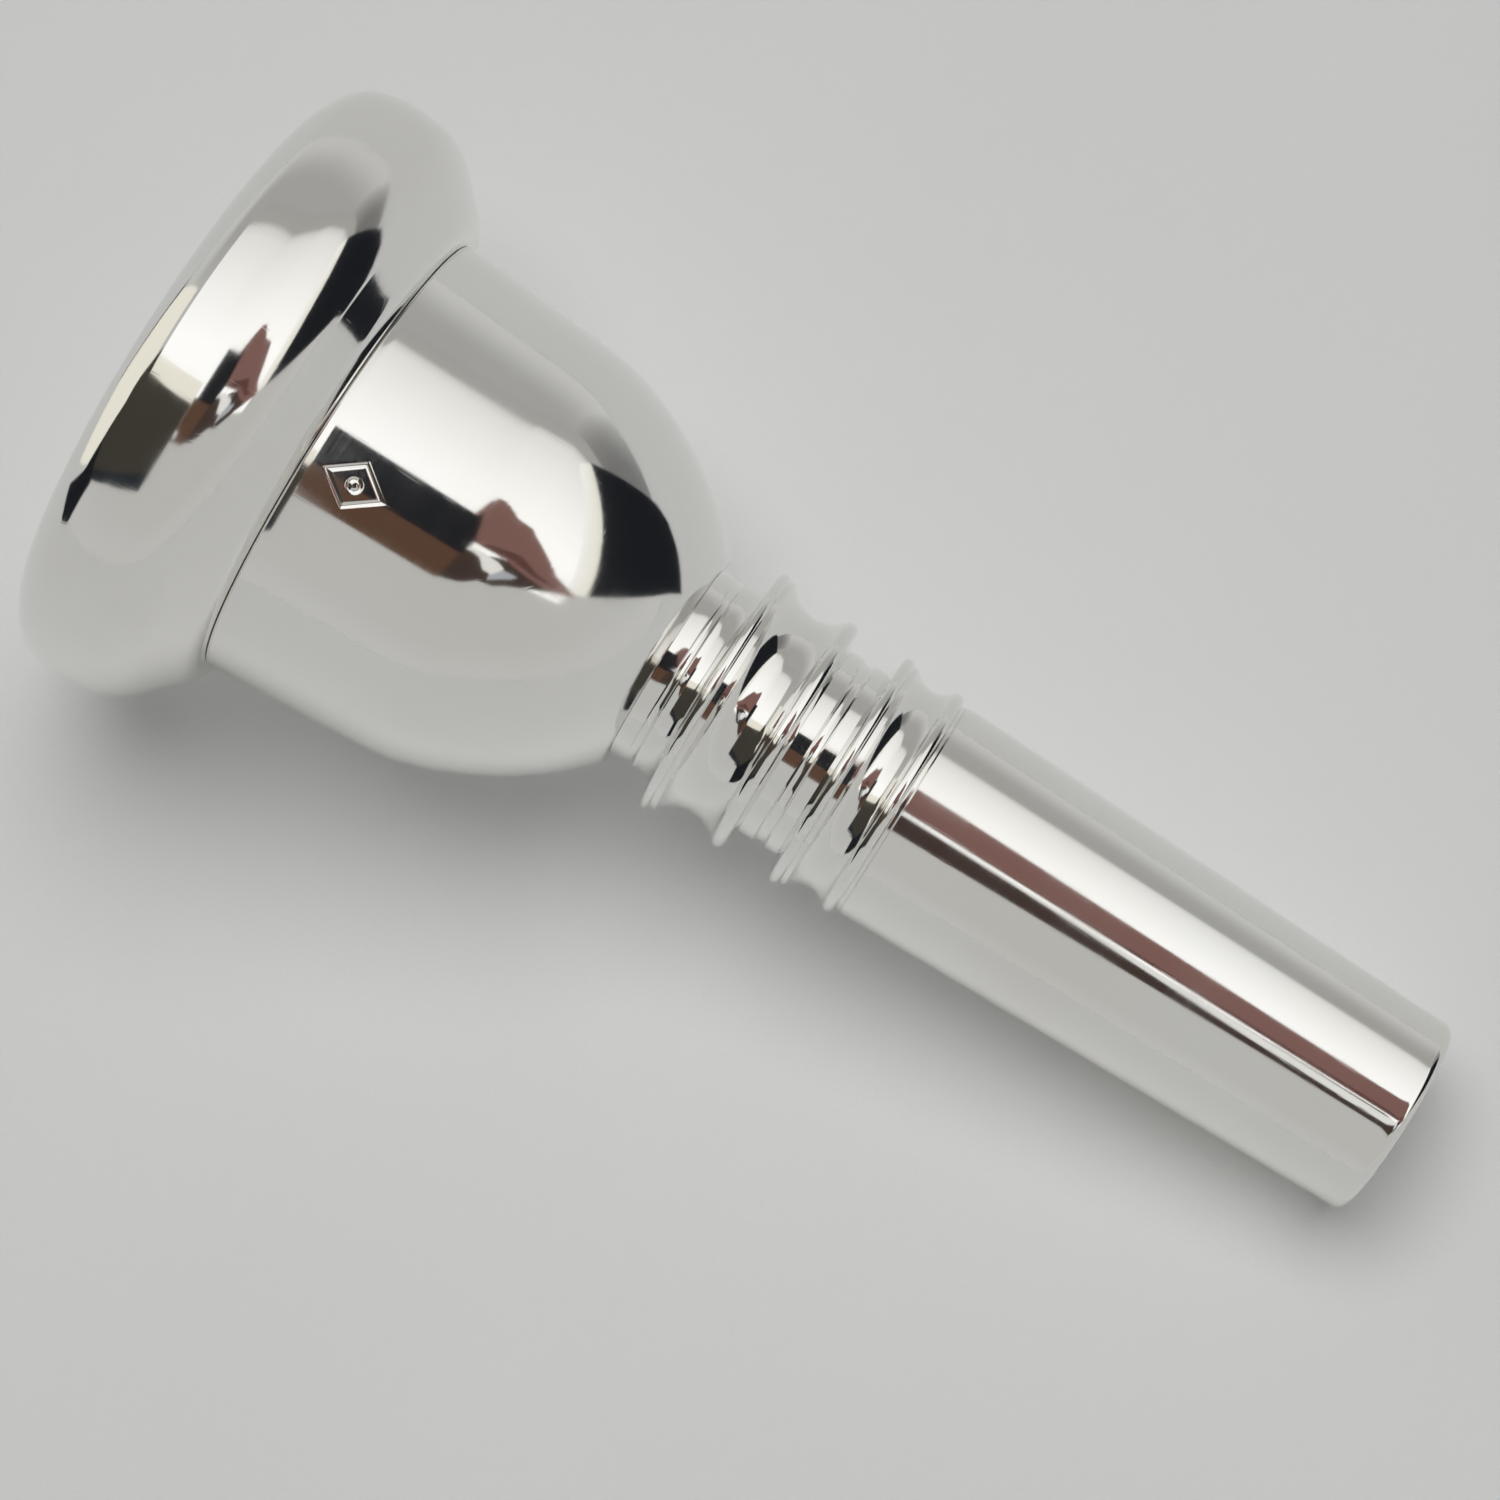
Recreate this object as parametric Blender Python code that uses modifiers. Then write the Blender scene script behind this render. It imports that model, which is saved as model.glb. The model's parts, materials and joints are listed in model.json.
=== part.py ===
"""Three-piece trombone mouthpiece: a screw-on rim, a cup and a tapered shank, with two O-rings.

The mouthpiece lies on a surface at z = 0. It touches it with the rim's widest circle and with the edge
of the shank's end, so its axis slopes down from the rim to the shank.
Every piece is turned about that axis. Outlines are lists of (radius, depth) in millimetres, where depth
runs along the axis from the crown of the rim (0) to the end of the shank (LENGTH).
"""
import math

import bpy
from mathutils import Vector

MM = 0.001

# Overall sizes, mm
LENGTH = 84.7
RIM_RADIUS = 19.8
CROWN_RADIUS = 16.3
BITE_RADIUS = 12.95
RIM_REAR = 11.2
SEAM_GAP = 0.25
CUP_TOP = RIM_REAR + SEAM_GAP
CUP_TOP_RADIUS = 14.58
CUP_END = 34.0
CUP_END_RADIUS = 7.25
SHANK_TOP = CUP_END + SEAM_GAP
TAPER_TOP = 50.5
TAPER_TOP_RADIUS = 7.12
TAPER_END_RADIUS = 6.32
THROAT_RADIUS = 3.55
BORE_END_RADIUS = 5.3

# Decorative turning between cup and taper, mm
LAND_RADIUS = 6.27
NECK_RADIUS = 6.33
FLANK_TURN = -28

# Screw threads, mm
PITCH = 1.0
THREAD_DEPTH = 0.5
THREAD_CLEARANCE = 0.2
THREAD_LEAD_IN = 0.5
ROWS_PER_PITCH = 4

# Collar of the cup, which the rim screws on to
COLLAR_TOP = 5.6
COLLAR_CREST_RADIUS = 13.95
COLLAR_THREAD = (6.1, 9.6)
RIM_THREAD = (5.9, 9.9)
RIM_COUNTERBORE_RADIUS = 14.45
RIM_COUNTERBORE_DEPTH = 10.0
COLLAR_GROOVE_RADIUS = 13.15
COLLAR_GROOVE_TOP = 10.1

# Spigot of the shank, which screws into the cup
SPIGOT_TOP = 27.75
SPIGOT_CREST_RADIUS = 4.95
SPIGOT_THREAD = (28.2, 32.4)
SOCKET_TOP = 27.45
SOCKET_THREAD = (27.9, 32.7)
SOCKET_COUNTERBORE_RADIUS = 5.3
SOCKET_COUNTERBORE_DEPTH = 32.9
SPIGOT_GROOVE_RADIUS = 4.2
SPIGOT_GROOVE_TOP = 32.85
PORT_RADIUS = 3.65

# O-rings, mm: (ring radius, section radius, depth of the section's centre)
RIM_SEAL = (13.8, 0.5, 10.75)
SHANK_SEAL = (4.75, 0.4, 33.6)

# Every turned piece has flat facets that touch its true circle, one of them facing straight down.
FACETS = 36
FACET_SCALE = 1.0 / math.cos(math.pi / FACETS)
SEAL_SECTION_SIDES = 6

COLLECTION = "mouthpiece"
SILVER = (0.86, 0.86, 0.84, 1.0)
RUBBER = (0.02, 0.02, 0.022, 1.0)


def arc(start, end, turn, steps):
    """Points after start, up to end, on the circular arc that turns by turn degrees (negative is hollow)."""
    (r0, d0), (r1, d1) = start, end
    half = math.radians(turn) / 2
    chord = math.hypot(r1 - r0, d1 - d0)
    radius = chord / (2 * math.sin(half))
    normal_r, normal_d = (d1 - d0) / chord, -(r1 - r0) / chord
    centre_r = (r0 + r1) / 2 - normal_r * radius * math.cos(half)
    centre_d = (d0 + d1) / 2 - normal_d * radius * math.cos(half)
    start_angle = math.atan2(r0 - centre_r, d0 - centre_d)
    points = []
    for step in range(1, steps + 1):
        angle = start_angle - math.radians(turn) * step / steps
        points.append((centre_r + abs(radius) * math.sin(angle), centre_d + abs(radius) * math.cos(angle)))
    return points


def rows(radius, span):
    """Evenly spaced points along a straight stretch that a thread is then cut into."""
    first, last = span
    count = round((last - first) / PITCH * ROWS_PER_PITCH)
    return [(radius, first + (last - first) * row / count) for row in range(count + 1)]


def groove(start, end):
    """A fine hollow turned into a land, from start to end."""
    return [start] + arc(start, end, -100, 4)


def bore_radius(depth):
    """Radius of the shank's bore, which opens from the throat to the shank's end."""
    throat_end = 31.0
    along = max(0.0, (depth - throat_end) / (LENGTH - throat_end))
    return THROAT_RADIUS + (BORE_END_RADIUS - THROAT_RADIUS) * along ** 0.75


def rim_outline():
    crown = (CROWN_RADIUS, 0.0)
    shoulder = (19.3, 1.75)
    widest = (RIM_RADIUS, 4.2)
    side_end = (19.633, 6.15)
    quarter = (19.133, 7.55)
    cone_top = (17.97, 9.02)
    step_end = (17.825, 9.138)
    cone_end = (16.45, 10.48)
    outside = [crown] + arc(crown, shoulder, 52, 5) + arc(shoulder, widest, 22, 3)
    outside += arc(widest, side_end, 9.8, 2) + arc(side_end, quarter, 19.7, 2)
    outside += arc(quarter, cone_top, 18, 2) + [step_end]
    outside += [cone_end] + arc(cone_end, (15.3, RIM_REAR), 30, 2)
    root = COLLAR_CREST_RADIUS + THREAD_CLEARANCE
    socket = [(RIM_COUNTERBORE_RADIUS, RIM_REAR), (RIM_COUNTERBORE_RADIUS, RIM_COUNTERBORE_DEPTH)]
    socket += rows(root, RIM_THREAD)[::-1]
    socket += [(root, COLLAR_TOP - SEAM_GAP), (12.72, COLLAR_TOP - SEAM_GAP)]
    bite_end = (BITE_RADIUS, 3.0)
    bite = (13.35, 1.45)
    inside = [bite_end] + arc(bite_end, bite, 16, 2) + arc(bite, crown, 58, 4)[:-1]
    return outside + socket + inside


def bowl_outline():
    """The inside of the cup, from its small port up to the top of the collar."""
    port = (PORT_RADIUS, SOCKET_TOP)
    flare = (4.75, 26.2)
    wall = (12.35, CUP_TOP)
    top = (12.68, COLLAR_TOP)
    return [port] + arc(port, flare, 28, 2) + arc(flare, wall, -47, 8) + [top]


def cup_outline():
    root = COLLAR_CREST_RADIUS - THREAD_DEPTH
    collar = [(13.3, COLLAR_TOP), (root, COLLAR_TOP + 0.2)] + rows(root, COLLAR_THREAD)
    collar += [(root, COLLAR_GROOVE_TOP), (COLLAR_GROOVE_RADIUS, COLLAR_GROOVE_TOP)]
    collar += [(COLLAR_GROOVE_RADIUS, CUP_TOP)]
    lip = (14.4, CUP_TOP)
    lip_end = (CUP_TOP_RADIUS, CUP_TOP + 0.18)
    waist = (13.86, 21.0)
    hip = (13.694, 22.5)
    belly = (13.333, 24.2)
    foot = (CUP_END_RADIUS, CUP_END - 0.08)
    outside = [lip] + arc(lip, lip_end, 94, 3) + [waist] + arc(waist, hip, 3.4, 1)
    outside += arc(hip, belly, 8, 1) + arc(belly, foot, 31, 8)
    socket_root = SPIGOT_CREST_RADIUS + THREAD_CLEARANCE
    socket = [(CUP_END_RADIUS - 0.15, CUP_END), (SOCKET_COUNTERBORE_RADIUS, CUP_END)]
    socket += [(SOCKET_COUNTERBORE_RADIUS, SOCKET_COUNTERBORE_DEPTH)]
    socket += rows(socket_root, SOCKET_THREAD)[::-1] + [(socket_root, SOCKET_TOP)]
    return collar + outside + socket + bowl_outline()


def shank_outline():
    root = SPIGOT_CREST_RADIUS - THREAD_DEPTH
    spigot = [(root - 0.25, SPIGOT_TOP), (root, SPIGOT_TOP + 0.25)] + rows(root, SPIGOT_THREAD)
    spigot += [(root, SPIGOT_GROOVE_TOP), (SPIGOT_GROOVE_RADIUS, SPIGOT_GROOVE_TOP)]
    neck = (NECK_RADIUS, SHANK_TOP + 0.03)
    spigot += [(SPIGOT_GROOVE_RADIUS, SHANK_TOP), (NECK_RADIUS - 0.03, SHANK_TOP)]

    rings = [neck] + groove((6.29, 35.03), (6.35, 35.62))
    rise, crest_a, crest_a_end = (6.67, 36.93), (7.9, 37.08), (7.9, 37.7)
    rings += arc(rings[-1], rise, -57, 4) + [crest_a] + arc(crest_a, crest_a_end, 125, 4)
    cove_1, cove_1_end = (7.84, 38.1), (7.458, 41.74)
    rings += [(7.86, 37.8), cove_1] + arc(cove_1, cove_1_end, -104, 10)

    crest_b_end, land_2 = (7.42, 42.7), (LAND_RADIUS, 42.95)
    rings += arc(cove_1_end, crest_b_end, 125, 4) + arc(crest_b_end, land_2, FLANK_TURN, 3)
    land_2_end, crest_c, crest_c_end = (LAND_RADIUS, 45.55), (7.55, 45.85), (7.55, 46.55)
    rings += groove((LAND_RADIUS, 43.89), (LAND_RADIUS, 44.74)) + [land_2_end]
    rings += arc(land_2_end, crest_c, FLANK_TURN, 3) + arc(crest_c, crest_c_end, 125, 4)
    cove_2, cove_2_end, crest_d_end = (7.48, 46.92), (7.29, 49.335), (7.25, 50.15)
    rings += [(7.5, 46.65), cove_2] + arc(cove_2, cove_2_end, -101, 8)
    rings += arc(cove_2_end, crest_d_end, 125, 4) + [(7.03, 50.22), (7.03, 50.4)]

    taper = [(TAPER_TOP_RADIUS, TAPER_TOP), (TAPER_END_RADIUS, LENGTH - 0.7)]
    taper += arc(taper[-1], (TAPER_END_RADIUS - 0.4, LENGTH), 75, 3)
    bore = [(bore_radius(depth), depth) for depth in (LENGTH, 72.0, 60.0, 49.0, 40.0, 31.0, SPIGOT_TOP)]
    return spigot + rings + taper + bore


def seal_outline(seal):
    ring_radius, section, depth = seal
    points = []
    for side in range(SEAL_SECTION_SIDES):
        angle = 2 * math.pi * (side + 0.5) / SEAL_SECTION_SIDES
        points.append((ring_radius + section * math.cos(angle), depth + section * math.sin(angle)))
    return points


def metal(name, colour, metallic, roughness):
    material = bpy.data.materials.new(name)
    material.use_nodes = True
    shader = material.node_tree.nodes["Principled BSDF"]
    shader.inputs["Base Color"].default_value = colour
    shader.inputs["Metallic"].default_value = metallic
    shader.inputs["Roughness"].default_value = roughness
    material.diffuse_color = colour
    return material


def turned(name, outline, material, collection, axis_empty):
    """A solid of revolution about the object's own Z axis, with depth running down -Z."""
    mesh = bpy.data.meshes.new(name)
    vertices = [(radius * FACET_SCALE * MM, 0.0, -depth * MM) for radius, depth in outline]
    edges = [(index, (index + 1) % len(vertices)) for index in range(len(vertices))]
    mesh.from_pydata(vertices, edges, [])
    obj = bpy.data.objects.new(name, mesh)
    collection.objects.link(obj)

    screw = obj.modifiers.new("Turn", "SCREW")
    screw.axis = "Z"
    screw.steps = FACETS
    screw.render_steps = FACETS
    screw.use_merge_vertices = True
    screw.merge_threshold = 0.000001

    evaluated = obj.evaluated_get(bpy.context.evaluated_depsgraph_get())
    solid = bpy.data.meshes.new_from_object(evaluated)
    solid.name = name
    obj.modifiers.clear()
    obj.data = solid
    bpy.data.meshes.remove(mesh)

    solid.materials.append(material)
    solid.shade_smooth()
    solid.set_sharp_from_angle(angle=math.radians(30))
    obj.parent = axis_empty
    obj.rotation_euler = (0.0, 0.0, math.pi / FACETS)
    return obj


def thread_wave(depth, angle, span):
    """Fade (0 at the span's ends, 1 inside it) and wave (-1 to 1) of the right-handed thread."""
    first, last = span
    fade = min((depth - first) / THREAD_LEAD_IN, (last - depth) / THREAD_LEAD_IN, 1.0)
    wave = math.sin(2 * math.pi * -depth / PITCH - angle)
    return max(fade, 0.0), wave


def cut_thread(obj, blank_radius, span, external):
    """Move the rows of a turned blank in or out to form a thread with a rounded profile."""
    first, last = span
    tolerance = 0.01
    for vertex in obj.data.vertices:
        depth = -vertex.co.z / MM
        radius = math.hypot(vertex.co.x, vertex.co.y) / MM / FACET_SCALE
        on_blank = abs(radius - blank_radius) < tolerance
        if not on_blank or depth < first - tolerance or depth > last + tolerance:
            continue
        fade, wave = thread_wave(depth, math.atan2(vertex.co.y, vertex.co.x), span)
        if external:
            target = blank_radius + THREAD_DEPTH / 2 * fade * (1 + wave)
        else:
            target = blank_radius - THREAD_DEPTH / 2 * fade * (1 - wave)
        vertex.co.x *= target / blank_radius
        vertex.co.y *= target / blank_radius


def lowest_point(outline, tilt):
    """The outline's point that reaches furthest down when the axis slopes down by tilt."""
    return max(outline, key=lambda point: point[0] * math.cos(tilt) + point[1] * math.sin(tilt))


def resting_tilt(rim, shank):
    """Slope of the axis when the rim and the shank's end both touch the surface."""
    tilt = 0.0
    for _ in range(20):
        rim_radius, rim_depth = lowest_point(rim, tilt)
        shank_radius, shank_depth = lowest_point(shank, tilt)
        tilt = math.atan((rim_radius - shank_radius) / (shank_depth - rim_depth))
    return tilt


def world_bounds(objects):
    corners = [obj.matrix_world @ vertex.co for obj in objects for vertex in obj.data.vertices]
    low = Vector([min(corner[axis] for corner in corners) for axis in range(3)])
    high = Vector([max(corner[axis] for corner in corners) for axis in range(3)])
    return low, high


def build():
    for obj in list(bpy.data.objects):
        bpy.data.objects.remove(obj, do_unlink=True)

    collection = bpy.data.collections.new(COLLECTION)
    bpy.context.scene.collection.children.link(collection)

    # The empty's Z axis points from the shank to the rim, and its X axis points upwards.
    tilt = resting_tilt(rim_outline(), shank_outline())
    axis_empty = bpy.data.objects.new("turning_axis", None)
    collection.objects.link(axis_empty)
    axis_empty.rotation_euler = (0.0, tilt - math.pi / 2, 0.0)

    rim = turned("rim", rim_outline(), metal("rim_plate", SILVER, 1.0, 0.12), collection, axis_empty)
    cup = turned("cup", cup_outline(), metal("cup_plate", SILVER, 1.0, 0.12), collection, axis_empty)
    shank = turned("shank", shank_outline(), metal("shank_plate", SILVER, 1.0, 0.12), collection, axis_empty)
    rubber_rim = metal("rim_seal_rubber", RUBBER, 0.0, 0.55)
    rubber_shank = metal("shank_seal_rubber", RUBBER, 0.0, 0.55)
    rim_seal = turned("rim_seal", seal_outline(RIM_SEAL), rubber_rim, collection, axis_empty)
    shank_seal = turned("shank_seal", seal_outline(SHANK_SEAL), rubber_shank, collection, axis_empty)

    cut_thread(rim, COLLAR_CREST_RADIUS + THREAD_CLEARANCE, RIM_THREAD, external=False)
    cut_thread(cup, COLLAR_CREST_RADIUS - THREAD_DEPTH, COLLAR_THREAD, external=True)
    cut_thread(cup, SPIGOT_CREST_RADIUS + THREAD_CLEARANCE, SOCKET_THREAD, external=False)
    cut_thread(shank, SPIGOT_CREST_RADIUS - THREAD_DEPTH, SPIGOT_THREAD, external=True)

    # Set the mouthpiece down: lowest point at z = 0, box centred on the origin.
    bpy.context.view_layer.update()
    low, high = world_bounds([rim, cup, shank, rim_seal, shank_seal])
    axis_empty.location = (-(low.x + high.x) / 2, -(low.y + high.y) / 2, -low.z)
    bpy.context.view_layer.update()


build()
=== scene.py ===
"""Looks of the trombone mouthpiece: fine turned pieces, silver plate and rubber, on a pale floor.

Outlines are lists of (radius, depth) in millimetres. Depth runs along the turning axis from the crown of
the rim (0) to the end of the shank, as in the CAD.
"""
import json
import math

import bpy
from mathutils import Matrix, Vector


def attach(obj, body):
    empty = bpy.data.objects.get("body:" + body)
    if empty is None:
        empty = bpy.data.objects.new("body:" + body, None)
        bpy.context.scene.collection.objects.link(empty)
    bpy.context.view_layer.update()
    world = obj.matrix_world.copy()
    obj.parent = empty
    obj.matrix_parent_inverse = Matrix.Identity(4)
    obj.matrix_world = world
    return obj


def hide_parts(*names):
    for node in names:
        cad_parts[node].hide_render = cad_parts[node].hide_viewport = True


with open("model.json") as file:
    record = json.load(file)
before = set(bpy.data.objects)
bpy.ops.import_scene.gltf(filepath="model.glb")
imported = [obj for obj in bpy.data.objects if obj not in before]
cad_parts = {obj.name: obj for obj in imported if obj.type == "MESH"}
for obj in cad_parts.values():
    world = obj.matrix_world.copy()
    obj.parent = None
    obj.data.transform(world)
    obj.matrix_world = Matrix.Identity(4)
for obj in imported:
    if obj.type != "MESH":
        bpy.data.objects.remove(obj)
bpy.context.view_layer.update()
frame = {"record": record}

MM = 0.001
joints = {joint["name"]: joint for joint in frame["record"]["behaviour"]["joints"]}

# The turning axis, from the record: it points from the rim to the shank. The rim turns about a point at the
# cup's top, and the crown lies CUP_TOP before it.
CUP_TOP = 11.45
AXIS = Vector(joints["shank_turn"]["axis"]).normalized()
CROWN = Vector(joints["rim_turn"]["pos_m"]) - AXIS * CUP_TOP * MM
SIDE = Vector((0.0, -1.0, 0.0))
ABOVE = SIDE.cross(AXIS)
TILT = math.asin(-AXIS.z)

# Sizes in millimetres. LIP_TOP and SHANK_TOP nearly close the gaps that the CAD leaves at the two joints.
LENGTH = 84.7
RIM_RADIUS = 19.8
CROWN_RADIUS = 16.3
BITE_RADIUS = 12.95
RIM_REAR = 11.2
LIP_TOP, CUP_TOP_RADIUS = 11.205, 14.58
CUP_END = 34.0
CUP_END_RADIUS = 7.25
SHANK_TOP = 34.01
TAPER_TOP, TAPER_TOP_RADIUS = 50.5, 7.12
TAPER_END_RADIUS = 6.32
LAND_RADIUS = 6.27
NECK_RADIUS = 6.33
FLANK_TURN = -28
COLLAR_TOP = 5.6
SPIGOT_TOP, SOCKET_TOP = 27.75, 27.45
THROAT_RADIUS, THROAT_END = 3.55, 31.0
BORE_END_RADIUS = 5.3
BORE_FLARE = 0.75

# The threads: their crests and roots, and the first and last depth of each.
PITCH = 1.0
THREAD_STEP = PITCH / 16
THREAD_START = 0.25
THREAD_DEPTH = 0.5
THREAD_FADE = 0.5
THREAD_FLAT = 0.14
THREAD_CLEARANCE = 0.2
COLLAR_CREST, COLLAR_ROOT = 13.95, 13.45
SPIGOT_CREST, SPIGOT_ROOT = 4.95, 4.45
RIM_ROOT = COLLAR_CREST + THREAD_CLEARANCE
SOCKET_ROOT = SPIGOT_CREST + THREAD_CLEARANCE
RIM_THREAD, COLLAR_THREAD = (5.9, 9.9), (6.1, 9.6)
SOCKET_THREAD, SPIGOT_THREAD = (27.9, 32.7), (28.2, 32.4)

# The O-rings: radius of the ring, radius of its section, and depth.
RIM_SEAL = (13.8, 0.5, 10.75)
SHANK_SEAL = (4.75, 0.4, 33.6)

# The engraved lozenge on the cup: where its middle is, half its length and width, and its groove.
MARK_DEPTH, MARK_ANGLE = 14.45, math.radians(18.9)
MARK_LENGTH, MARK_WIDTH, MARK_DOT = 1.8, 1.4, 0.34
MARK_MARGIN = 0.3
GROOVE_WIDTH, GROOVE_DEPTH = 0.1, 0.055
MARK_STEP = 0.055

# How fine the meshes are: steps along an outline in mm, and segments round the axis.
ARC_STEP = 0.06
STRAIGHT_STEP = 0.8
SEGMENTS = 288

# Creases over CREASE_ANGLE stay crisp, and lengths in mm that differ by less than SAME count as equal.
CREASE_ANGLE = math.radians(28)
CREASE_WIDTH = 0.02
SAME = 0.001


# ---------------------------------------------------------------- outlines

def arc(start, end, turn):
    """Points after start, up to end, on the arc that turns by turn degrees (negative is hollow)."""
    (r0, d0), (r1, d1) = start, end
    half = math.radians(turn) / 2
    chord = math.hypot(r1 - r0, d1 - d0)
    radius = chord / (2 * math.sin(half))
    centre_r = (r0 + r1) / 2 - (d1 - d0) / chord * radius * math.cos(half)
    centre_d = (d0 + d1) / 2 + (r1 - r0) / chord * radius * math.cos(half)
    start_angle = math.atan2(r0 - centre_r, d0 - centre_d)
    # At least 3 steps, of 4 degrees each where that is no shorter than ARC_STEP and no longer than 6 of it.
    by_length = radius * 2 * half / ARC_STEP
    by_angle = abs(turn) / 4
    steps = max(3, math.ceil(min(by_length, max(by_angle, by_length / 6))))
    points = []
    for step in range(1, steps + 1):
        angle = start_angle - math.radians(turn) * step / steps
        points.append((centre_r + abs(radius) * math.sin(angle), centre_d + abs(radius) * math.cos(angle)))
    return points


def fillet(corner_before, corner, corner_after, size):
    """The corner, rounded: points on an arc that starts and ends size away from it."""
    before = Vector(corner_before) - Vector(corner)
    after = Vector(corner_after) - Vector(corner)
    start = Vector(corner) + before.normalized() * min(size, before.length / 2)
    end = Vector(corner) + after.normalized() * min(size, after.length / 2)
    turn = math.degrees(math.pi - before.angle(after))
    left = before.x * after.y - before.y * after.x
    return [tuple(start)] + arc(tuple(start), tuple(end), math.copysign(turn, left))


def rounded(points, sizes):
    """The open outline with the corners named in sizes rounded; sizes maps a point's index to a size."""
    out = []
    for index, point in enumerate(points):
        if index in sizes:
            out += fillet(points[index - 1], point, points[(index + 1) % len(points)], sizes[index])
        else:
            out.append(point)
    return out


def rows(radius, first, last, step):
    """Points at one radius, evenly spaced between two depths."""
    count = max(1, round(abs(last - first) / step))
    return [(radius, first + (last - first) * row / count) for row in range(count + 1)]


def run(start, end, first, last, step):
    """Points on the straight line from start to end, evenly spaced between two depths on it."""
    count = math.ceil((last - first) / step)
    points = []
    for point in range(count + 1):
        depth = first + (last - first) * point / count
        share = (depth - start[1]) / (end[1] - start[1])
        points.append((start[0] + (end[0] - start[0]) * share, depth))
    return points


def groove(start, end):
    """A fine hollow turned into a land, from start to end."""
    return [start] + arc(start, end, -100)


def just_past(start, end):
    """A point a hair past start, so that the crease at start stays crisp when the faces are smoothed."""
    share = CREASE_WIDTH / math.dist(start, end)
    return tuple(a + (b - a) * share for a, b in zip(start, end))


def rim_outline():
    """From the crown down the outside, up the threaded socket, and over the bite."""
    crown = (CROWN_RADIUS, 0.0)
    shoulder, widest = (19.3, 1.75), (RIM_RADIUS, 4.2)
    side_end, quarter = (19.633, 6.15), (19.133, 7.55)
    cone_top, step_end, cone_end, rear = (17.97, 9.02), (17.825, 9.138), (16.45, 10.48), (15.3, RIM_REAR)
    outside = [crown] + arc(crown, shoulder, 52) + arc(shoulder, widest, 22)
    outside += arc(widest, side_end, 9.8) + arc(side_end, quarter, 19.7)
    outside += arc(quarter, cone_top, 18) + arc(cone_top, step_end, 7)
    outside += [just_past(step_end, cone_end), cone_end] + arc(cone_end, rear, 30)
    socket_radius, socket_floor = 14.45, 5.35
    corners = [rear, (socket_radius, RIM_REAR), (socket_radius, 10.0), (RIM_ROOT, 9.97)]
    socket = rounded(corners, {1: 0.04})[1:]
    socket += rows(RIM_ROOT, RIM_THREAD[1], RIM_THREAD[0], THREAD_STEP)
    socket += [(RIM_ROOT, socket_floor), (12.72, socket_floor)]
    bite_end, bite = (BITE_RADIUS, 3.0), (13.35, 1.45)
    inside = [bite_end] + arc(bite_end, bite, 16) + arc(bite, crown, 58)[:-1]
    return outside + socket + inside


def bowl_outline():
    """From the port up the bowl to the top of the collar."""
    port, flare = (3.65, SOCKET_TOP), (4.75, 26.2)
    wall, top = (12.35, CUP_TOP), (12.68, COLLAR_TOP)
    return [port] + arc(port, flare, 28) + arc(flare, wall, -47) + [top]


def cup_outline():
    """Down the threaded collar and the outside, then up the threaded socket and the bowl."""
    collar = [(13.25, COLLAR_TOP), (COLLAR_ROOT, COLLAR_TOP + 0.2)]
    collar += rows(COLLAR_ROOT, *COLLAR_THREAD, THREAD_STEP)
    seal_seat = 13.15
    collar += [(COLLAR_ROOT, 10.1), (seal_seat, 10.13), (seal_seat, LIP_TOP)]
    lip, lip_end = (14.4, LIP_TOP), (CUP_TOP_RADIUS, LIP_TOP + 0.18)
    waist, hip, belly = (13.86, 21.0), (13.694, 22.5), (13.333, 24.2)
    foot = (CUP_END_RADIUS, CUP_END - 0.08)
    mark_first = MARK_DEPTH - MARK_LENGTH - MARK_MARGIN
    mark_last = MARK_DEPTH + MARK_LENGTH + MARK_MARGIN
    mark_rows = run(lip_end, waist, mark_first, mark_last, MARK_STEP)
    outside = [lip] + arc(lip, lip_end, 94) + mark_rows + [waist] + arc(waist, hip, 3.4)
    outside += arc(hip, belly, 8) + arc(belly, foot, 31)
    counterbore = 5.3
    socket = arc(foot, (CUP_END_RADIUS - 0.15, CUP_END), 50) + [(counterbore, CUP_END), (counterbore, 32.9)]
    socket += rows(SOCKET_ROOT, SOCKET_THREAD[1], SOCKET_THREAD[0], THREAD_STEP) + [(SOCKET_ROOT, SOCKET_TOP)]
    return collar + outside + socket + bowl_outline()


def bore_radius(depth):
    """The narrow throat, opening towards the end of the shank."""
    along = max(0.0, (depth - THROAT_END) / (LENGTH - THROAT_END))
    return THROAT_RADIUS + (BORE_END_RADIUS - THROAT_RADIUS) * along ** BORE_FLARE


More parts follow.
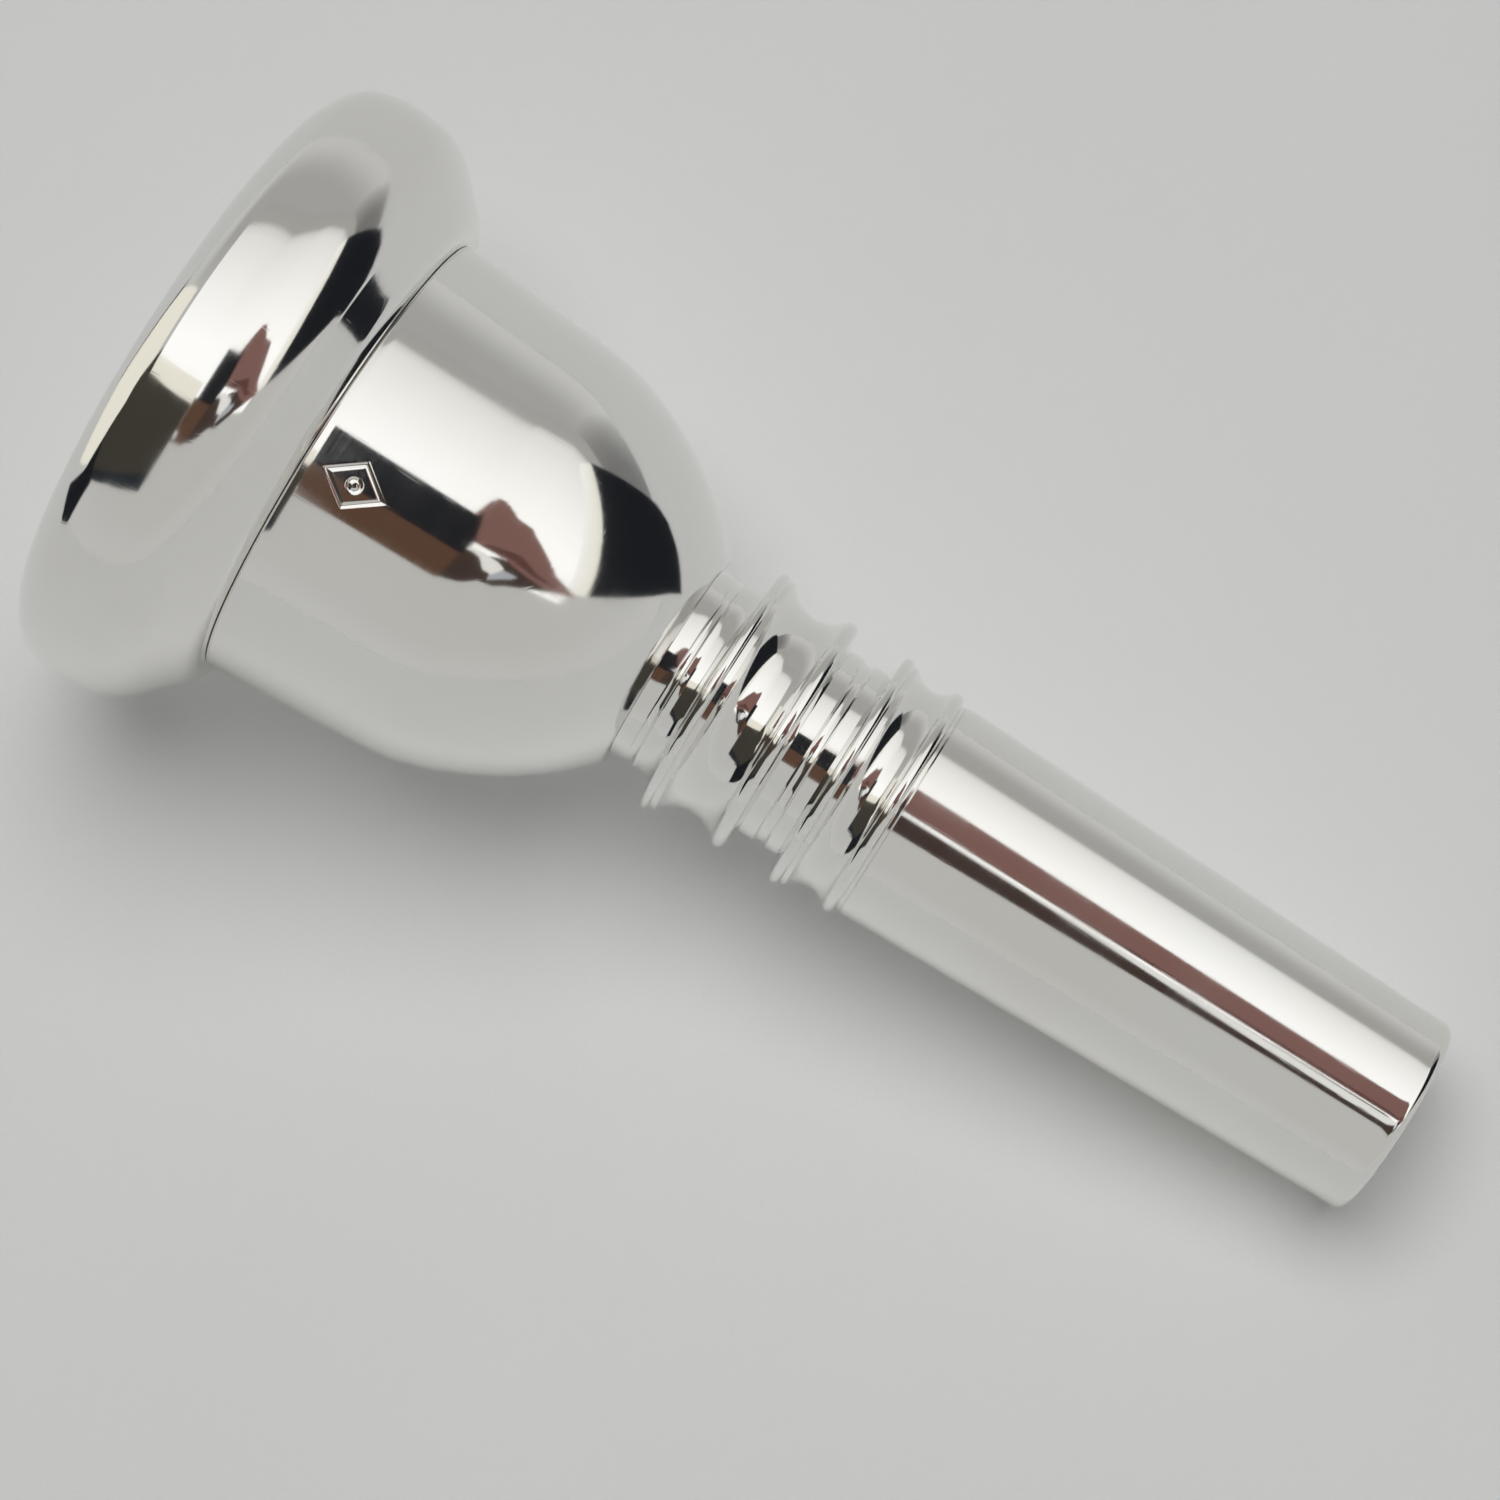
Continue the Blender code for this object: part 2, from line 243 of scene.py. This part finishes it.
def shank_outline():
    """Down the threaded spigot, the turned rings and the taper, then up the bore."""
    spigot = [(SPIGOT_ROOT - 0.25, SPIGOT_TOP), (SPIGOT_ROOT, SPIGOT_TOP + 0.25)]
    spigot += rows(SPIGOT_ROOT, *SPIGOT_THREAD, THREAD_STEP)
    seal_seat = 4.2
    spigot += [(SPIGOT_ROOT, 32.85), (seal_seat, 32.88), (seal_seat, SHANK_TOP)]

    edge = 0.03
    neck, neck_end = (NECK_RADIUS, SHANK_TOP + edge), (6.29, 35.03)
    rings = [(NECK_RADIUS - edge, SHANK_TOP), neck] + arc(neck, neck_end, 5)
    rings += groove(neck_end, (6.35, 35.62))[1:]
    crest_radius, shelf_radius = 7.9, 7.84
    rise, crest_a, crest_a_end = (6.67, 36.93), (crest_radius, 37.08), (crest_radius, 37.7)
    rings += arc(rings[-1], rise, -57) + [crest_a] + arc(crest_a, crest_a_end, 125)
    cove_1, cove_1_end = (shelf_radius, 38.1), (7.458, 41.74)
    rings += [(shelf_radius, 37.74), cove_1] + arc(cove_1, cove_1_end, -104)
    crest_b_end, land_2 = (7.42, 42.7), (LAND_RADIUS, 42.95)
    rings += arc(cove_1_end, crest_b_end, 125) + arc(crest_b_end, land_2, FLANK_TURN)
    crest_radius, shelf_radius, notch_radius = 7.55, 7.48, 7.03
    land_2_end, crest_c, crest_c_end = (LAND_RADIUS, 45.55), (crest_radius, 45.85), (crest_radius, 46.55)
    rings += groove((LAND_RADIUS, 43.89), (LAND_RADIUS, 44.74)) + [land_2_end]
    rings += arc(land_2_end, crest_c, FLANK_TURN) + arc(crest_c, crest_c_end, 125)
    cove_2, cove_2_end, crest_d_end = (shelf_radius, 46.92), (7.29, 49.335), (7.25, 50.15)
    rings += [(shelf_radius, 46.6), cove_2] + arc(cove_2, cove_2_end, -101)
    rings += arc(cove_2_end, crest_d_end, 125) + [(notch_radius, 50.22), (notch_radius, 50.4)]

    taper_end = (TAPER_END_RADIUS, LENGTH - 0.7)
    taper_top = (TAPER_TOP_RADIUS, TAPER_TOP)
    taper = [taper_top, just_past(taper_top, taper_end), taper_end]
    taper += arc(taper_end, (TAPER_END_RADIUS - 0.4, LENGTH), 75)
    bore_steps = 40
    bore_depths = [LENGTH - (LENGTH - SPIGOT_TOP) * step / bore_steps for step in range(bore_steps + 1)]
    bore = [(bore_radius(depth), depth) for depth in bore_depths]
    return spigot + rings + taper + bore


def seal_outline(ring_radius, section, depth):
    """A round section with a fine moulding flash at its outer and inner edge."""
    points = []
    sides = 36
    flash = 0.03
    for side in range(sides):
        angle = 2 * math.pi * side / sides
        reach = section + (flash if side % (sides // 2) == 0 else 0.0)
        points.append((ring_radius + reach * math.cos(angle), depth + reach * math.sin(angle)))
    return points


# ---------------------------------------------------------------- meshes

def long_runs_divided(outline):
    """The closed outline with its long straight runs divided, so that its faces stay compact."""
    out = []
    for index, point in enumerate(outline):
        following = outline[(index + 1) % len(outline)]
        length = math.dist(point, following)
        parts = max(1, math.ceil(length / STRAIGHT_STEP))
        for part in range(parts):
            share = part / parts
            out.append(tuple(a + (b - a) * share for a, b in zip(point, following)))
    return out


def thread_height(depth, angle, first, last):
    """Height of the right-handed thread, from root (0) to crest (1), and how far it has faded in."""
    fade = max(0.0, min((depth - first) / THREAD_FADE, (last - depth) / THREAD_FADE, 1.0))
    phase = (-depth / PITCH + angle / (2 * math.pi) + THREAD_START) % 1.0
    saw = 1.0 - abs(2.0 * phase - 1.0)
    return min(max((saw - THREAD_FLAT) / (1 - 2 * THREAD_FLAT), 0.0), 1.0), fade


def engraved(radius, depth, angle):
    """How far the mark's grooves lower the cup's surface: a lozenge around a small ring."""
    along, around = abs(depth - MARK_DEPTH), abs(angle - MARK_ANGLE) * CUP_TOP_RADIUS
    skin = 0.8
    inside = radius < CUP_TOP_RADIUS - skin
    if inside or along > MARK_LENGTH + MARK_MARGIN or around > MARK_WIDTH + MARK_MARGIN:
        return 0.0
    slope = math.hypot(1 / MARK_LENGTH, 1 / MARK_WIDTH)
    to_lozenge = abs(along / MARK_LENGTH + around / MARK_WIDTH - 1) / slope
    to_ring = abs(math.hypot(along, around) - MARK_DOT)
    return -GROOVE_DEPTH * math.exp(-(min(to_lozenge, to_ring) / GROOVE_WIDTH) ** 2)


def cup_angles():
    """Evenly spaced angles, with closer ones across the mark."""
    even = [2 * math.pi * step / SEGMENTS for step in range(SEGMENTS)]
    reach = (MARK_WIDTH + MARK_MARGIN) / CUP_TOP_RADIUS
    count = math.ceil(2 * reach * CUP_TOP_RADIUS / MARK_STEP)
    close = [MARK_ANGLE - reach + 2 * reach * step / count for step in range(count + 1)]
    margin = 0.005
    return sorted([angle for angle in even if abs(angle - MARK_ANGLE) > reach + margin] + close)


def turned(name, outline, threads=(), angles=None, shape=None):
    """A turned piece. threads holds (blank radius, first depth, last depth, external)."""
    outline = long_runs_divided(outline)
    if angles is None:
        angles = [2 * math.pi * step / SEGMENTS for step in range(SEGMENTS)]
    vertices, faces = [], []
    for angle in angles:
        outwards = ABOVE * math.cos(angle) + SIDE * math.sin(angle)
        for radius, depth in outline:
            for blank, first, last, external in threads:
                if abs(radius - blank) < SAME and first - SAME <= depth <= last + SAME:
                    height, fade = thread_height(depth, angle, first, last)
                    if external:
                        radius = blank + THREAD_DEPTH * fade * height
                    else:
                        radius = blank - THREAD_DEPTH * fade * (1 - height)
                    break
            if shape:
                radius += shape(radius, depth, angle)
            vertices.append(CROWN + AXIS * depth * MM + outwards * radius * MM)
    row_count, columns = len(outline), len(angles)
    for column in range(columns):
        left, right = column * row_count, (column + 1) % columns * row_count
        for row in range(row_count):
            below = (row + 1) % row_count
            faces.append((left + row, right + row, right + below, left + below))
    mesh = bpy.data.meshes.new(name)
    mesh.from_pydata(vertices, [], faces)
    mesh.shade_smooth()
    mesh.set_sharp_from_angle(angle=CREASE_ANGLE)
    obj = bpy.data.objects.new(name, mesh)
    bpy.context.scene.collection.objects.link(obj)
    return obj


def install(obj, node, material):
    """Puts a piece in its node's place, on the body of the same name."""
    obj.data.materials.append(material)
    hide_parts(node)
    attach(obj, node)


# ---------------------------------------------------------------- materials

# The plate's roughness where nothing dulls it, and its colour.
POLISH = 0.06
CLEAN_SILVER = (0.86, 0.857, 0.842)
TARNISHED_SILVER = (0.83, 0.815, 0.77)


def new_material(name):
    """A material with its nodes, its links and its Principled BSDF."""
    material = bpy.data.materials.new(name)
    material.use_nodes = True
    nodes, links = material.node_tree.nodes, material.node_tree.links
    return material, nodes, links, nodes["Principled BSDF"]


def along_axis(nodes, links, scale):
    """Object coordinates turned so that X runs along the turning axis, then scaled."""
    place = nodes.new("ShaderNodeTexCoord")
    turn = nodes.new("ShaderNodeMapping")
    turn.inputs["Rotation"].default_value = (0, -TILT, 0)
    stretch = nodes.new("ShaderNodeMapping")
    stretch.inputs["Scale"].default_value = scale
    links.new(place.outputs["Object"], turn.inputs["Vector"])
    links.new(turn.outputs["Vector"], stretch.inputs["Vector"])
    return stretch.outputs["Vector"]


def noise(nodes, links, vector, scale, detail):
    """The value of a noise texture at the vector."""
    texture = nodes.new("ShaderNodeTexNoise")
    texture.inputs["Scale"].default_value = scale
    texture.inputs["Detail"].default_value = detail
    links.new(vector, texture.inputs["Vector"])
    return texture.outputs["Fac"]


def ranged(nodes, links, value, source, target):
    """The value with its source range mapped to the target range, clamped."""
    mapping = nodes.new("ShaderNodeMapRange")
    for socket, number in zip(("From Min", "From Max", "To Min", "To Max"), (*source, *target)):
        mapping.inputs[socket].default_value = number
    links.new(value, mapping.inputs["Value"])
    return mapping.outputs["Result"]


def blended(nodes, links, value, first, second, interpolation="LINEAR"):
    """A colour that goes from first to second as the value rises. Each is a position and a colour."""
    ramp = nodes.new("ShaderNodeValToRGB")
    ramp.color_ramp.interpolation = interpolation
    for element, (position, colour) in zip(ramp.color_ramp.elements, (first, second)):
        element.position = position
        element.color = (*colour, 1)
    links.new(value, ramp.inputs["Fac"])
    return ramp.outputs["Color"]


def combined(nodes, links, operation, first, second):
    """Two values joined by one Math operation."""
    node = nodes.new("ShaderNodeMath")
    node.operation = operation
    links.new(first, node.inputs[0])
    links.new(second, node.inputs[1])
    return node.outputs["Value"]


def bumped(nodes, links, shader, height, distance):
    """Gives the shader fine relief: height, from 0 to 1, times distance in metres."""
    bump = nodes.new("ShaderNodeBump")
    bump.inputs["Strength"].default_value = 1.0
    bump.inputs["Distance"].default_value = distance
    links.new(height, bump.inputs["Height"])
    links.new(bump.outputs["Normal"], shader.inputs["Normal"])


def silver_plate(name):
    """Polished silver: fine turning lines, hairline scratches, faint smudges and a trace of tarnish."""
    material, nodes, links, shader = new_material(name)
    shader.inputs["Metallic"].default_value = 1.0

    lines = noise(nodes, links, along_axis(nodes, links, (9000.0, 90.0, 90.0)), 1.0, 2.0)
    hairs_a = noise(nodes, links, along_axis(nodes, links, (260.0, 7000.0, 900.0)), 1.0, 1.0)
    hairs_b = noise(nodes, links, along_axis(nodes, links, (420.0, 800.0, 8200.0)), 1.0, 1.0)
    smudges = noise(nodes, links, along_axis(nodes, links, (1.0, 1.0, 1.0)), 130.0, 5.0)
    tarnish = noise(nodes, links, along_axis(nodes, links, (1.0, 1.0, 1.0)), 48.0, 6.0)

    dulled = ranged(nodes, links, smudges, (0.48, 0.72), (POLISH, POLISH + 0.055))
    brushed = ranged(nodes, links, lines, (0.35, 0.7), (0.0, 0.022))
    links.new(combined(nodes, links, "ADD", dulled, brushed), shader.inputs["Roughness"])

    tint = blended(nodes, links, tarnish, (0.42, CLEAN_SILVER), (0.78, TARNISHED_SILVER))
    links.new(tint, shader.inputs["Base Color"])

    scratch_a = ranged(nodes, links, hairs_a, (0.66, 0.74), (0.0, 1.0))
    scratch_b = ranged(nodes, links, hairs_b, (0.67, 0.75), (0.0, 1.0))
    scratches = combined(nodes, links, "MAXIMUM", scratch_a, scratch_b)
    ridges = ranged(nodes, links, lines, (0.3, 0.7), (0.0, 0.35))
    height = combined(nodes, links, "SUBTRACT", ridges, scratches)
    bumped(nodes, links, shader, height, 0.0000004)
    return material


def rubber(name):
    """Moulded rubber with a fine matt grain, slightly shiny where cork grease has stayed on it."""
    material, nodes, links, shader = new_material(name)
    place = nodes.new("ShaderNodeTexCoord").outputs["Object"]
    grain = noise(nodes, links, place, 9000.0, 4.0)
    grease = noise(nodes, links, place, 380.0, 3.0)
    links.new(ranged(nodes, links, grease, (0.42, 0.62), (0.28, 0.58)), shader.inputs["Roughness"])
    shade = blended(nodes, links, grain, (0.0, (0.012, 0.012, 0.013)), (1.0, (0.032, 0.031, 0.03)))
    links.new(shade, shader.inputs["Base Color"])
    bumped(nodes, links, shader, grain, 0.00001)
    return material


# ---------------------------------------------------------------- the object

rim = turned("rim_ring", rim_outline(), [(RIM_ROOT, *RIM_THREAD, False)])
cup = turned("cup_body", cup_outline(), [
    (COLLAR_ROOT, *COLLAR_THREAD, True),
    (SOCKET_ROOT, *SOCKET_THREAD, False),
], cup_angles(), engraved)
shank = turned("shank_body", shank_outline(), [(SPIGOT_ROOT, *SPIGOT_THREAD, True)])
rim_seal = turned("rim_o_ring", seal_outline(*RIM_SEAL))
shank_seal = turned("shank_o_ring", seal_outline(*SHANK_SEAL))

plate = silver_plate("silver_plate")
black_rubber = rubber("black_rubber")
install(rim, "rim", plate)
install(cup, "cup", plate)
install(shank, "shank", plate)
install(rim_seal, "rim_seal", black_rubber)
install(shank_seal, "shank_seal", black_rubber)


# ---------------------------------------------------------------- floor, light and camera

# Greys and browns that the polished plate mirrors, as linear light.
WHITE = (1.08, 1.078, 1.065)
SILK = (0.93, 0.926, 0.905)
PALE = (0.78, 0.776, 0.755)
CREAM = (0.84, 0.81, 0.715)
GREY = (0.4, 0.397, 0.383)
DUSK = (0.14, 0.139, 0.136)
SKIN = (0.2, 0.105, 0.092)
# The warm colour in shade, at about half its brightness: painted shade for the warm shape's fold.
SHADED_SKIN = (0.1, 0.045, 0.04)
WOOD = (0.1, 0.053, 0.034)
BROWN = (0.05, 0.033, 0.027)
OLIVE = (0.046, 0.041, 0.033)
BLACK = (0.011, 0.012, 0.015)
BLUE_BLACK = (0.017, 0.021, 0.026)
BLUE_GREY = (0.4, 0.42, 0.45)
EDGE_GREY = (0.66, 0.657, 0.64)
PAST_EDGE_GREY = (0.375, 0.372, 0.355)
LAST_GREY = (0.36, 0.357, 0.343)
HORIZON, FAR_HORIZON = (0.57, 0.567, 0.555), (0.595, 0.592, 0.58)
NEAR_SKY = (0.535, 0.532, 0.515)

# Heights in metres. Overhead cards hang about as high as the lens, and ground cards lie just above the floor.
CARD_HEIGHT = 0.31
TOP_LAYER_HEIGHT = CARD_HEIGHT + 0.004
SCREEN_HEIGHT = CARD_HEIGHT + 0.006
LAYER_STEP = 0.001
GROUND = 0.002

# How brightly the cards glow, as a factor of their colours.
CARD_STRENGTH = 1.065

# The upper corners of the black screen, which the bright screen's cream end meets.
BLACK_SCREEN_LEFT, BLACK_SCREEN_RIGHT = (0.34, 0.54), (0.62, -0.035)

# The direction in which the world is darkest, beside the black screen; how near to it, as a cosine, the dusk
# begins and is full; and how much of the sky's own light it takes there.
DUSK_DIRECTION = (0.58, 0.8, 0.15)
DUSK_START, DUSK_FULL = 0.92, 0.995
DUSK_SHARE = 0.85

# The floor is lit by the two lights alone; the world is only mirrored.
KEY_ENERGY, FILL_ENERGY = 1.74, 0.64

# The camera: its foot on the axis in mm, its lean towards SIDE, its distance in metres, its turn in degrees.
CAMERA_DEPTH = 47.56
CAMERA_LEAN = math.radians(15.0)
CAMERA_DISTANCE = 0.312
CAMERA_TURN = (18.167, 1.548, 31.288)
SENSOR_WIDTH, LENS = 36.0, 127.07


def make_floor():
    """A plain pale floor, faintly clouded, with a fine matt grain."""
    bpy.ops.mesh.primitive_plane_add(size=6.0, location=(0, 0, 0))
    floor = bpy.context.object
    floor.name = "floor"
    material, nodes, links, shader = new_material("pale_floor")
    place = nodes.new("ShaderNodeTexCoord").outputs["Object"]
    clouds = noise(nodes, links, place, 24.0, 6.0)
    shade = blended(nodes, links, clouds, (0.0, (0.69, 0.692, 0.68)), (1.0, (0.73, 0.731, 0.72)))
    links.new(shade, shader.inputs["Base Color"])
    shader.inputs["Roughness"].default_value = 0.8
    shader.inputs["Specular IOR Level"].default_value = 0.2
    bumped(nodes, links, shader, noise(nodes, links, place, 2600.0, 3.0), 0.00002)
    floor.data.materials.append(material)


def make_camera():
    """The photograph's view: nearly from above, square to the axis a little past its middle."""
    foot = CROWN + AXIS * CAMERA_DEPTH * MM
    towards_camera = ABOVE * math.cos(CAMERA_LEAN) + SIDE * math.sin(CAMERA_LEAN)
    camera_data = bpy.data.cameras.new("photo_camera")
    camera_data.sensor_width = SENSOR_WIDTH
    camera_data.lens = LENS
    camera = bpy.data.objects.new("photo_camera", camera_data)
    bpy.context.scene.collection.objects.link(camera)
    camera.rotation_euler = [math.radians(angle) for angle in CAMERA_TURN]
    camera.location = foot + towards_camera * CAMERA_DISTANCE
    bpy.context.scene.camera = camera


def glow(name):
    """A light-giving material that takes its colour from the mesh's shade attribute."""
    material = bpy.data.materials.new(name)
    material.use_nodes = True
    nodes, links = material.node_tree.nodes, material.node_tree.links
    nodes.remove(nodes["Principled BSDF"])
    emission = nodes.new("ShaderNodeEmission")
    shade = nodes.new("ShaderNodeAttribute")
    shade.attribute_name = "shade"
    links.new(shade.outputs["Color"], emission.inputs["Color"])
    emission.inputs["Strength"].default_value = CARD_STRENGTH
    links.new(emission.outputs["Emission"], nodes["Material Output"].inputs["Surface"])
    return material


def card(name, rows_of_points, colours):
    """A glowing studio card that only reflections see and that lights nothing: a painted reflection. Each row
    of points has a colour; a lone row is an outline.
    """
    columns = len(rows_of_points[0])
    vertices = [point for row in rows_of_points for point in row]
    if len(rows_of_points) == 1:
        faces = [tuple(range(columns))]
    else:
        corners = (0, 1, columns + 1, columns)
        faces = [tuple(row * columns + column + corner for corner in corners)
                 for row in range(len(rows_of_points) - 1) for column in range(columns - 1)]
    mesh = bpy.data.meshes.new(name)
    mesh.from_pydata(vertices, [], faces)
    shade = mesh.attributes.new("shade", "FLOAT_COLOR", "POINT")
    for index, point_shade in enumerate(shade.data):
        point_shade.color = (*colours[index // columns], 1)
    obj = bpy.data.objects.new(name, mesh)
    obj.data.materials.append(glow_material)
    bpy.context.scene.collection.objects.link(obj)
    obj.visible_camera = obj.visible_diffuse = obj.visible_shadow = False
    obj.visible_transmission = obj.visible_volume_scatter = False


def level_card(name, colour, height, outline):
    """A level card in one colour, with its outline given from above."""
    card(name, [[(x, y, height) for x, y in outline]], [colour])


def overhead_card(name, layer, colour, outline):
    """A level card above the object. Cards of a higher layer hang a little lower, in front."""
    level_card(name, colour, TOP_LAYER_HEIGHT - LAYER_STEP * layer, outline)


def wall_card(name, colour, height, left, right):
    """An upright card that stands between two places on the floor."""
    card(name, [[(*left, height), (*right, height)], [(*left, 0.0), (*right, 0.0)]], [colour, colour])


def make_bright_screen():
    """The large white screen overhead, a glowing card that paints the plate's highlights, darker towards its
    far edge, and its cream end.
    """
    screen_x = (-0.29, -0.17, -0.02, 0.035, 0.065, 0.12, 0.2, 0.33, 0.5)
    far_edge = (0.235, 0.23, 0.225, 0.3, 0.36, 0.4, 0.455, 0.5, 0.5)
    near_edge = -0.15
    shares = (0.0, 0.3, 0.6, 0.92, 1.0, 1.06, 1.3)
    colours = (WHITE, WHITE, SILK, PALE, EDGE_GREY, PAST_EDGE_GREY, LAST_GREY)
    card("bright_screen", [
        [(x, near_edge + (far - near_edge) * share, SCREEN_HEIGHT) for x, far in zip(screen_x, far_edge)]
        for share in shares], colours)
    end_height = SCREEN_HEIGHT - LAYER_STEP
    card("screen_end", [
        [(*BLACK_SCREEN_LEFT, end_height), (*BLACK_SCREEN_RIGHT, end_height)],
        [(0.27, 0.42, end_height), (0.48, -0.09, end_height)]], [CREAM, SILK])


def make_overhead_cards():
    """The camera side: a dark block and ground, a pale gap, black and brown shapes and a plain warm blob with
    painted shade in its fold.
    """
    block_end = [(-0.01, -0.53), (-0.3, -0.6), (-0.8, -0.85), (-1.3, -1.0)]
    overhead_card("cream_strip", 0, CREAM, [(-0.28, -0.085), (-0.29, -0.13), (0.012, -0.148), (0.012, -0.1)])
    overhead_card("dark_block", 1, OLIVE, [
        (-0.28, -0.125), (0.012, -0.146), (0.012, -0.25), *block_end, (-1.3, -0.55), (-0.55, -0.16),
        (-0.305, -0.07), (-0.29, -0.07)])
    overhead_card("block_shade", 2, BLUE_BLACK, [
        (0.002, -0.4), *block_end, (-1.3, -0.9), (-0.75, -0.7), (-0.3, -0.5)])
    overhead_card("dark_ground", 2, BROWN, [
        (0.05, -0.247), (0.05, -0.12), (0.16, -0.09), (0.4, -0.07), (0.53, -0.077), (0.324, -0.141),
        (0.213, -0.19), (0.14, -0.19), (0.08, -0.236)])
    overhead_card("blue_patch", 3, BLUE_GREY, [(0.15, -0.12), (0.26, -0.12), (0.25, -0.14), (0.17, -0.175)])
    overhead_card("pale_gap", 4, PALE, [
        (0.068, -0.103), (0.1, -0.098), (0.16, -0.103), (0.2, -0.115), (0.17, -0.15), (0.13, -0.146),
        (0.1, -0.116), (0.075, -0.109)])
    overhead_card("warm_shape", 5, SKIN, [
        (0.05, -0.03), (0.06, 0.02), (0.068, 0.043), (0.08, 0.047), (0.13, 0.03), (0.2, 0.035), (0.3, -0.01),
        (0.36, -0.04), (0.54, -0.075), (0.4, -0.115), (0.26, -0.1), (0.18, -0.085), (0.075, -0.085)])
    # A darker copy of the warm colour over part of the warm shape: painted shade in its fold.
    overhead_card("warm_fold_shade", 6, SHADED_SKIN, [
        (0.085, -0.085), (0.1, -0.07), (0.22, -0.05), (0.3, -0.075), (0.42, -0.085), (0.3, -0.09),
        (0.2, -0.075)])
    overhead_card("wood_patch", 7, WOOD, [(0.012, -0.128), (0.067, -0.128), (0.056, -0.247), (0.012, -0.247)])
    overhead_card("black_bar", 8, BLACK, [
        (0.02, -0.13), (0.02, -0.024), (0.056, -0.022), (0.06, -0.006), (0.075, -0.085), (0.067, -0.13)])
    overhead_card("bright_spot", 9, SILK, [(0.013, -0.215), (0.019, -0.21), (0.021, -0.235), (0.015, -0.24)])


def make_standing_cards():
    """Upright cards at both ends of the object, each with the ground that lies before it."""
    foot_left, foot_right = (0.355, 0.46), (0.5, 0.22)
    card("black_screen", [
        [(*BLACK_SCREEN_LEFT, CARD_HEIGHT), (*BLACK_SCREEN_RIGHT, CARD_HEIGHT)],
        [(*foot_left, 0.0), (*foot_right, 0.0)]], [BLACK, BLACK])
    level_card("black_ground", BLACK, GROUND, [foot_left, (0.13, 0.16), (0.1, 0.1), (0.1, 0.06), foot_right])

    wall_left, wall_right = (-0.97, -0.44), (-0.6, -0.72)
    wall_card("black_wall", BLACK, 0.28, wall_left, wall_right)
    level_card("black_wedge", BLACK, GROUND, [(-0.12, -0.035), wall_left, wall_right, (-0.14, -0.075)])

    wall_left, wall_right = (-0.62, 0.12), (-0.62, -0.26)
    wall_card("cream_wall", CREAM, 0.5, wall_left, wall_right)
    level_card("cream_ground", CREAM, GROUND, [(-0.13, 0.0), wall_left, wall_right, (-0.13, -0.03)])
    level_card("dark_border", BROWN, GROUND, [
        (-0.115, -0.002), (-0.6, 0.14), (-0.6, 0.115), (-0.13, -0.002)])


def make_world():
    """Pale all round: as bright as the floor at the horizon, darker above it on the far side, with a dusk."""
    world = bpy.data.worlds.new("studio")
    bpy.context.scene.world = world
    world.use_nodes = True
    nodes, links = world.node_tree.nodes, world.node_tree.links
    sky = nodes.new("ShaderNodeTexCoord").outputs["Generated"]
    direction = nodes.new("ShaderNodeSeparateXYZ")
    links.new(sky, direction.inputs["Vector"])

    height = direction.outputs["Z"]
    near_side = blended(nodes, links, height, (0.0, HORIZON), (0.35, NEAR_SKY), "EASE")
    far_side = blended(nodes, links, height, (0.0, FAR_HORIZON), (0.42, GREY), "EASE")
    mix = nodes.new("ShaderNodeMix")
    mix.data_type = "RGBA"
    links.new(ranged(nodes, links, direction.outputs["Y"], (0.0, 0.45), (0.0, 1.0)), mix.inputs["Factor"])
    links.new(near_side, mix.inputs["A"])
    links.new(far_side, mix.inputs["B"])

    # The nearer a direction is to the dusk's, the darker it is.
    beside = nodes.new("ShaderNodeVectorMath")
    beside.operation = "DOT_PRODUCT"
    beside.inputs[1].default_value = DUSK_DIRECTION
    links.new(sky, beside.inputs[0])
    dusk = nodes.new("ShaderNodeMix")
    dusk.data_type = "RGBA"
    dusk.inputs["B"].default_value = (*DUSK, 1)
    share = ranged(nodes, links, beside.outputs["Value"], (DUSK_START, DUSK_FULL), (0.0, DUSK_SHARE))
    links.new(share, dusk.inputs["Factor"])
    links.new(mix.outputs["Result"], dusk.inputs["A"])
    links.new(dusk.outputs["Result"], nodes["Background"].inputs["Color"])
    world.cycles_visibility.diffuse = False


def make_lights():
    """A soft key from above, a little to the far left, and a shadowless fill. The plate mirrors neither."""
    lights = (
        ("soft_key", KEY_ENERGY, 45.0, (-0.09, 0.13, 1.0)),
        ("even_fill", FILL_ENERGY, 10.0, (0.0, 0.0, 1.0)),
    )
    for name, energy, angle, towards in lights:
        data = bpy.data.lights.new(name, "SUN")
        data.energy = energy
        data.angle = math.radians(angle)
        data.use_shadow = name == "soft_key"
        light = bpy.data.objects.new(name, data)
        light.rotation_euler = Vector(towards).to_track_quat("Z", "Y").to_euler()
        light.visible_glossy = False
        bpy.context.scene.collection.objects.link(light)


bpy.context.scene.view_settings.view_transform = "Standard"
bpy.context.scene.cycles.glossy_bounces = 12
glow_material = glow("studio_glow")
make_floor()
make_bright_screen()
make_overhead_cards()
make_standing_cards()
make_world()
make_lights()
make_camera()
